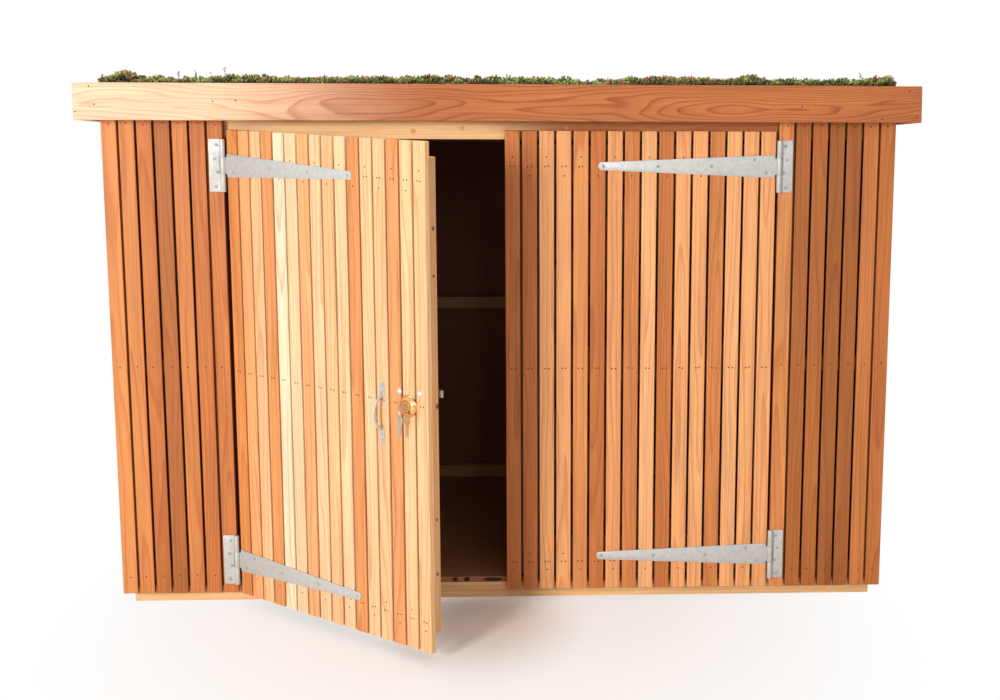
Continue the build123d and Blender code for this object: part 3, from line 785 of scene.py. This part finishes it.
def under_strap(x, y):
    """Whether a place on a leaf is under one of its tapered straps."""
    for level in (UPPER_HINGE, LOWER_HINGE):
        half = STRAP_HEEL + (STRAP_NOSE - STRAP_HEEL) * min(max(x / STRAP_LEN, 0), 1)
        if x < STRAP_LEN + 0.006 and abs(y - level) < half + 0.003:
            return True
    return False


slat_nails(1, LEFT_FACE, "left_door", "left_door_nails")
slat_nails(-1, RIGHT_FACE, "right_door", "right_door_nails")


def panel_nails():
    """One nail at each rail of the fixed front panels."""
    rng = random.Random(81)
    places = []
    for side in (-1, 1):
        for index in range(PANEL_SLATS):
            middle = side * (HALF_W - BATTEN_W / 2 - index * PITCH)
            for level in (1.265, 0.640, 0.076):
                if index == PANEL_SLATS - 1 and abs(level - LOWER_HINGE) < 0.07:
                    continue
                places.append((middle + rng.uniform(-0.004, 0.004), level + rng.uniform(-0.003, 0.003), 0.0))
    heads("front_panel_nails", "shelter", NAIL, PANEL_FACE, places, NAIL_HEAD, steps=8)


panel_nails()


def wall_nails():
    """Nails at the rails of the side and back walls."""
    rng = random.Random(82)
    back = Matrix.Translation((0, BACK_Y, 0)) @ Matrix.Rotation(math.radians(180), 4, "Z")
    back = back @ Matrix.Rotation(math.radians(90), 4, "X")
    step = (2 * HALF_W - BATTEN_W) / (BACK_SLATS - 1)
    places = []
    for index in range(BACK_SLATS):
        x = -HALF_W + BATTEN_W / 2 + index * step
        for level in (1.183, 0.640, 0.076):
            places.append((x + rng.uniform(-0.003, 0.003), level + rng.uniform(-0.003, 0.003), 0.0))
    heads("back_wall_nails", "shelter", NAIL, back, places, NAIL_HEAD, steps=8)
    step = (SIDE_RUN - BATTEN_W) / (SIDE_SLATS - 1)
    for word, side in (("left", -1), ("right", 1)):
        face = Matrix.Translation((side * HALF_W, 0, 0)) @ Matrix.Rotation(side * math.radians(90), 4, "Z")
        face = face @ Matrix.Rotation(math.radians(90), 4, "X")
        places = []
        for index in range(SIDE_SLATS):
            y = SIDE_FIRST + BATTEN_W / 2 + index * step
            top = 1.2435 - (y + 0.497) * math.tan(ROOF_FALL)
            for level in (top, 0.640, 0.076):
                x = side * y + rng.uniform(-0.003, 0.003)
                places.append((x, level + rng.uniform(-0.003, 0.003), 0.0))
        heads(f"{word}_wall_nails", "shelter", NAIL, face, places, NAIL_HEAD, steps=8)


wall_nails()

STRAP_SCREWS = [(0.454, 0.0), (0.313, 0.0), (0.175, 0.0), (0.065, 0.0176), (0.034, -0.017)]
PLATE_SCREWS = [(0.0155, 0.052), (0.020, 0.017), (0.0136, -0.017), (0.019, -0.054)]


def hinge_screws(word, side, face):
    """Screws in both straps of a leaf and in the fixed plates beside it."""
    levels = (UPPER_HINGE, LOWER_HINGE)
    strap = [(side * x, level + z, IRON_T) for level in levels for x, z in STRAP_SCREWS]
    plate = [(-side * x, level + z, IRON_T) for level in levels for x, z in PLATE_SCREWS]
    panel = Matrix.Translation((-side * HINGE_X, 0, 0)) @ PANEL_FACE
    heads(f"{word}_strap_screws", f"{word}_door", SCREW_ZINC, face, strap, SCREW_HEAD)
    heads(f"{word}_plate_screws", "shelter", SCREW_ZINC, panel, plate, SCREW_HEAD)


hinge_screws("left", 1, LEFT_FACE)
hinge_screws("right", -1, RIGHT_FACE)
heads(
    "handle_screws", "left_door", SCREW_ZINC, LEFT_FACE,
    [(0.555, y, IRON_T) for y in (0.668, 0.652, 0.548, 0.533)], SCREW_HEAD,
)
heads(
    "coach_bolts", "left_door", BOLT_ZINC, LEFT_FACE,
    [(0.6125, 0.661, 0.0), (0.6785, 0.664, 0.0)], BOLT_HEAD, steps=20,
)


# Planted roof: a lumpy base with thousands of small sprigs on it

def roof_matrix():
    """The slope of the roof: x across, y down the fall and z square to it, from the front edge's foot."""
    place = Matrix.Translation((0, FRONT_Y - 0.062, 1.277))
    return place @ Matrix.Rotation(-ROOF_FALL, 4, "X")


ROOF = roof_matrix()
FASCIA_NAILS = [
    (-1.021, 0.083), (-1.009, 0.0385), (-1.055, 0.020), (-0.719, 0.047), (-0.663, 0.049), (0.755, 0.039),
    (1.029, 0.080), (1.049, 0.015), (0.960, 0.009),
]
heads(
    "fascia_nails", "shelter", NAIL, ROOF @ Matrix.Rotation(math.radians(90), 4, "X"),
    [(x, z, 0.0) for x, z in FASCIA_NAILS], NAIL_HEAD, steps=8,
)
MAT_HALF = 1.009
MAT_NEAR = 0.065
MAT_FAR = 1.1702
MAT_FOOT = 0.085
MAT_TOP = 0.100
# Taller clumps along the front edge: where, how wide and how high
CLUMPS = ((-0.955, 0.030, 0.012), (0.632, 0.034, 0.007), (0.985, 0.016, 0.006))


def mat_height(x, y):
    """How high the planting stands at a place on the roof."""
    lump = noise.noise(Vector((x * 5.0, y * 5.0, 0.3))) * 0.005
    if y < 0.2:
        lump += sum(rise * math.exp(-((x - at) / wide) ** 2) for at, wide, rise in CLUMPS)
    tuft = noise.noise(Vector((x * 24.0, y * 24.0, 1.7))) * 0.006
    return MAT_TOP + lump + tuft + noise.noise(Vector((x * 70.0, y * 70.0, 4.1))) * 0.003


def sedum_base():
    """The blanket that the sprigs grow from, closed underneath."""
    shape = bmesh.new()
    bmesh.ops.create_grid(shape, x_segments=150, y_segments=84, size=0.5)
    deep = MAT_FAR - MAT_NEAR
    for vert in shape.verts:
        x = vert.co.x * 2 * MAT_HALF
        y = MAT_NEAR + (vert.co.y + 0.5) * deep
        edge = min(MAT_HALF - abs(x), y - MAT_NEAR, MAT_FAR - y)
        sink = max(0.0, 1 - edge / 0.02) * 0.008
        vert.co = Vector((x, y, mat_height(x, y) - 0.006 - sink))
    rim = [edge for edge in shape.edges if edge.is_boundary]
    grown = bmesh.ops.extrude_edge_only(shape, edges=rim)["geom"]
    for item in grown:
        if isinstance(item, bmesh.types.BMVert):
            item.co.z = MAT_FOOT
    bmesh.ops.recalc_face_normals(shape, faces=shape.faces)
    bottom = [edge for edge in shape.edges if edge.is_boundary]
    bmesh.ops.holes_fill(shape, edges=bottom, sides=0)
    bmesh.ops.recalc_face_normals(shape, faces=shape.faces)
    bmesh.ops.transform(shape, matrix=ROOF, verts=shape.verts)
    return put(shape, "sedum_blanket", "shelter", MOSS, ("sedum_mat",), smooth=True)


sedum_base()


LEAVES_OF_SPRIG = 5


def rosette(seed):
    """One sprig: a few fleshy leaves round a short stem."""
    rng = random.Random(seed)
    shape = bmesh.new()
    for index in range(LEAVES_OF_SPRIG):
        start = len(shape.verts)
        bmesh.ops.create_cone(shape, segments=3, radius1=0.6, radius2=0.95, depth=2.0, cap_ends=True)
        shape.verts.ensure_lookup_table()
        leaf = shape.verts[start:]
        turn = Matrix.Rotation(index * math.tau / LEAVES_OF_SPRIG + rng.uniform(-0.4, 0.4), 4, "Z")
        lean = Matrix.Rotation(rng.uniform(0.35, 1.2), 4, "Y")
        size = Matrix.Diagonal((0.0024, 0.0012, 0.0034 * rng.uniform(0.8, 1.3), 1))
        bmesh.ops.transform(shape, matrix=turn @ lean @ Matrix.Translation((0, 0, 0.004)) @ size, verts=leaf)
    mesh = bpy.data.meshes.new("rosette")
    shape.to_mesh(mesh)
    shape.free()
    return mesh


def leaf_material():
    """Green or reddish leaves, darker towards their foot."""
    material, tree, shader = new_material("sedum_leaves", 0.6, specular=0.3)
    tint = stored(tree, "tone")
    tall = stored(tree, "reach")
    ripe = ramp(tree, tint, (0.0, 0.0), (0.6, 1.0))
    green = blend_colour(tree, ripe, linear(84, 104, 46), linear(204, 212, 128))
    red = blend_colour(tree, tint, linear(128, 88, 62), linear(196, 142, 106))
    colour = blend_colour(tree, ramp(tree, tint, (0.64, 0.0), (0.72, 1.0)), green, red)
    colour = blend_colour(tree, tall, linear(56, 48, 30), colour)
    place = object_place(tree)
    speck = add(tree, "ShaderNodeTexNoise", Vector=place, Scale=700.0, Detail=2.0)
    colour = blend_colour(tree, maths(tree, "MULTIPLY", speck, 0.2), colour, linear(170, 172, 100))
    tree.links.new(colour, shader["Base Color"])
    tree.links.new(bump(tree, speck, 0.2, 0.0006), shader["Normal"])
    return material


LEAVES = leaf_material()
STALK = earth("sedum_flower_stems", linear(112, 96, 66), linear(128, 92, 70), linear(92, 104, 60), 400.0)


def sow(name, count, spots, seed, low=0.75, high=2.3):
    """Scatter sprigs over part of the roof. spots draws a place and a lift; low and high are sizes."""
    rng = random.Random(seed)
    kinds = [rosette(seed * 10 + k) for k in range(3)]
    points, faces, tones, reach, shapes = [], [], [], [], []
    offset = 0
    for mesh in kinds:
        corners = np.array([vert.co for vert in mesh.vertices])
        shapes.append((corners, [list(polygon.vertices) for polygon in mesh.polygons]))
    for _ in range(count):
        corners, sides = shapes[rng.randrange(3)]
        x, y, lift = spots(rng)
        size = low + (high - low) * rng.random() ** 1.8
        turn = Matrix.Rotation(rng.uniform(0, math.tau), 3, "Z")
        lean = Matrix.Rotation(rng.uniform(-0.5, 0.5), 3, "X")
        moved = (corners * size) @ np.array(turn @ lean).T
        base = mat_height(x, y) - 0.008 + lift
        points.append(moved + np.array((x, y, base)))
        faces.extend([[corner + offset for corner in side] for side in sides])
        drift = noise.noise(Vector((x * 6.0, y * 6.0, 7.7))) * 0.5
        tones.extend([min(max(rng.random() + drift, 0.0), 1.0)] * len(corners))
        heights = moved[:, 2]
        reach.extend(np.clip(heights / 0.013 - 0.05, 0, 1).tolist())
        offset += len(corners)
    mesh = bpy.data.meshes.new(name)
    mesh.from_pydata(np.concatenate(points).tolist(), [], faces)
    for label, values in (("tone", tones), ("reach", reach)):
        layer = mesh.attributes.new(label, "FLOAT", "POINT")
        layer.data.foreach_set("value", values)
    mesh.transform(ROOF)
    piece = link(name, mesh)
    mesh.materials.append(LEAVES)
    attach(piece, "shelter")
    return piece


def near_edge(rng):
    """A place in the strip that the front shows, now and then lifted."""
    return rng.uniform(-MAT_HALF, MAT_HALF), MAT_NEAR + rng.random() ** 1.3 * 0.10, 0.012 * rng.random() ** 4


def part_of_roof(first, last):
    """Places between two lines across the roof."""
    def pick(rng):
        return rng.uniform(-MAT_HALF, MAT_HALF), rng.uniform(first, last), 0.0
    return pick


sow("sedum_front_sprigs", 4700, near_edge, 91)
sow("sedum_middle_sprigs", 4700, part_of_roof(MAT_NEAR + 0.08, 0.62), 92, 1.2, 2.4)
sow("sedum_back_sprigs", 4700, part_of_roof(0.62, MAT_FAR), 93, 1.2, 2.4)


def stalks():
    """The thin flower stems that stand up out of the planting near its front edge."""
    rng = random.Random(94)
    shape = bmesh.new()
    spots = [(-0.825, 0.030), (-0.778, 0.028), (-0.738, 0.030), (-0.706, 0.044), (0.922, 0.036)]
    spots += [(rng.uniform(-MAT_HALF, MAT_HALF), rng.uniform(0.008, 0.020)) for _ in range(60)]
    for x, tall in spots:
        y = MAT_NEAR + rng.uniform(0.01, 0.06)
        lean = Matrix.Rotation(rng.uniform(-0.25, 0.25), 4, "Y")
        lean = lean @ Matrix.Rotation(rng.uniform(-0.2, 0.2), 4, "X")
        foot = Matrix.Translation((x, y, mat_height(x, y) - 0.004)) @ lean
        bmesh.ops.create_cone(
            shape, segments=5, radius1=0.0006, radius2=0.0004, depth=tall,
            matrix=foot @ Matrix.Translation((0, 0, tall / 2)),
        )
        for _ in range(7):
            height = tall * rng.uniform(0.55, 1.0)
            side = Vector((rng.uniform(-1, 1), rng.uniform(-1, 1), rng.uniform(0.1, 1))) * 0.003
            bmesh.ops.create_icosphere(
                shape, subdivisions=1, radius=rng.uniform(0.0009, 0.0019),
                matrix=foot @ Matrix.Translation(Vector((0, 0, height)) + side),
            )
    bmesh.ops.transform(shape, matrix=ROOF, verts=shape.verts)
    put(shape, "sedum_stalks", "shelter", STALK)


stalks()


# Studio: a pale floor that fades to white, and soft lamps

def studio_floor():
    """A pale floor that fades to white away from the open leaf's shadow."""
    floor_mesh = bmesh.new()
    bmesh.ops.create_grid(floor_mesh, x_segments=1, y_segments=1, size=12)
    mesh = bpy.data.meshes.new("studio_floor")
    floor_mesh.to_mesh(mesh)
    floor_mesh.free()
    floor = link("studio_floor", mesh)
    material = bpy.data.materials.new("pale_floor")
    material.use_nodes = True
    tree = material.node_tree
    shader = tree.nodes["Principled BSDF"]
    shader.inputs["Base Color"].default_value = (0.95, 0.86, 0.78, 1)
    shader.inputs["Roughness"].default_value = 0.55
    out = tree.nodes["Material Output"]
    glow = tree.nodes.new("ShaderNodeEmission")
    glow.inputs[0].default_value = (1, 1, 1, 1)
    glow.inputs[1].default_value = 1.0
    away = distance(tree, object_place(tree), (-0.06, -0.74, 0.0), (1.5, 1.0, 0.0))
    fade = ramp(tree, maths(tree, "DIVIDE", away, 2.0), (0.05, 0.0), (0.23, 0.58), (0.90, 1.0))
    seen = add(tree, "ShaderNodeLightPath")
    mix = tree.nodes.new("ShaderNodeMixShader")
    tree.links.new(maths(tree, "MULTIPLY", fade, seen), mix.inputs[0])
    tree.links.new(shader.outputs[0], mix.inputs[1])
    tree.links.new(glow.outputs[0], mix.inputs[2])
    tree.links.new(mix.outputs[0], out.inputs[0])
    mesh.materials.append(material)


def studio_world():
    """White where the camera and reflections see it, and a dim fill elsewhere."""
    world = bpy.data.worlds.new("studio_world")
    scene.world = world
    world.use_nodes = True
    tree = world.node_tree
    tree.nodes.clear()
    light = tree.nodes.new("ShaderNodeBackground")
    light.inputs[0].default_value = (0.94, 0.97, 1.0, 1)
    light.inputs[1].default_value = 0.30
    white = tree.nodes.new("ShaderNodeBackground")
    white.inputs[0].default_value = (1, 1, 1, 1)
    white.inputs[1].default_value = 1.0
    path = tree.nodes.new("ShaderNodeLightPath")
    seen = maths(tree, "MAXIMUM", path.outputs["Is Camera Ray"], path.outputs["Is Glossy Ray"])
    mix = tree.nodes.new("ShaderNodeMixShader")
    tree.links.new(seen, mix.inputs[0])
    tree.links.new(light.outputs[0], mix.inputs[1])
    tree.links.new(white.outputs[0], mix.inputs[2])
    out = tree.nodes.new("ShaderNodeOutputWorld")
    tree.links.new(mix.outputs[0], out.inputs[0])


def studio_lamps():
    """A key from the left, a weak front light and an overhead one."""
    for name, place, aim, width, height, power in (
        ("key_softbox", (-3.0, -5.8, 2.0), (-0.2, -0.6, 0.6), 1.1, 1.1, 245.0),
        ("front_softbox", (1.6, -5.2, 3.0), (0.2, -0.5, 0.6), 2.5, 2.0, 36.0),
        ("overhead_softbox", (0.0, 0.3, 4.6), (0.0, 0.0, 0.0), 3.0, 3.0, 110.0),
    ):
        lamp = bpy.data.lights.new(name, "AREA")
        lamp.shape = "RECTANGLE"
        lamp.size = width
        lamp.size_y = height
        lamp.energy = power
        lamp.color = (1.0, 0.985, 0.96)
        carrier = link(name, lamp)
        turn = (Vector(aim) - Vector(place)).to_track_quat("-Z", "Y")
        carrier.matrix_world = Matrix.Translation(place) @ turn.to_matrix().to_4x4()


studio_floor()
studio_world()
studio_lamps()
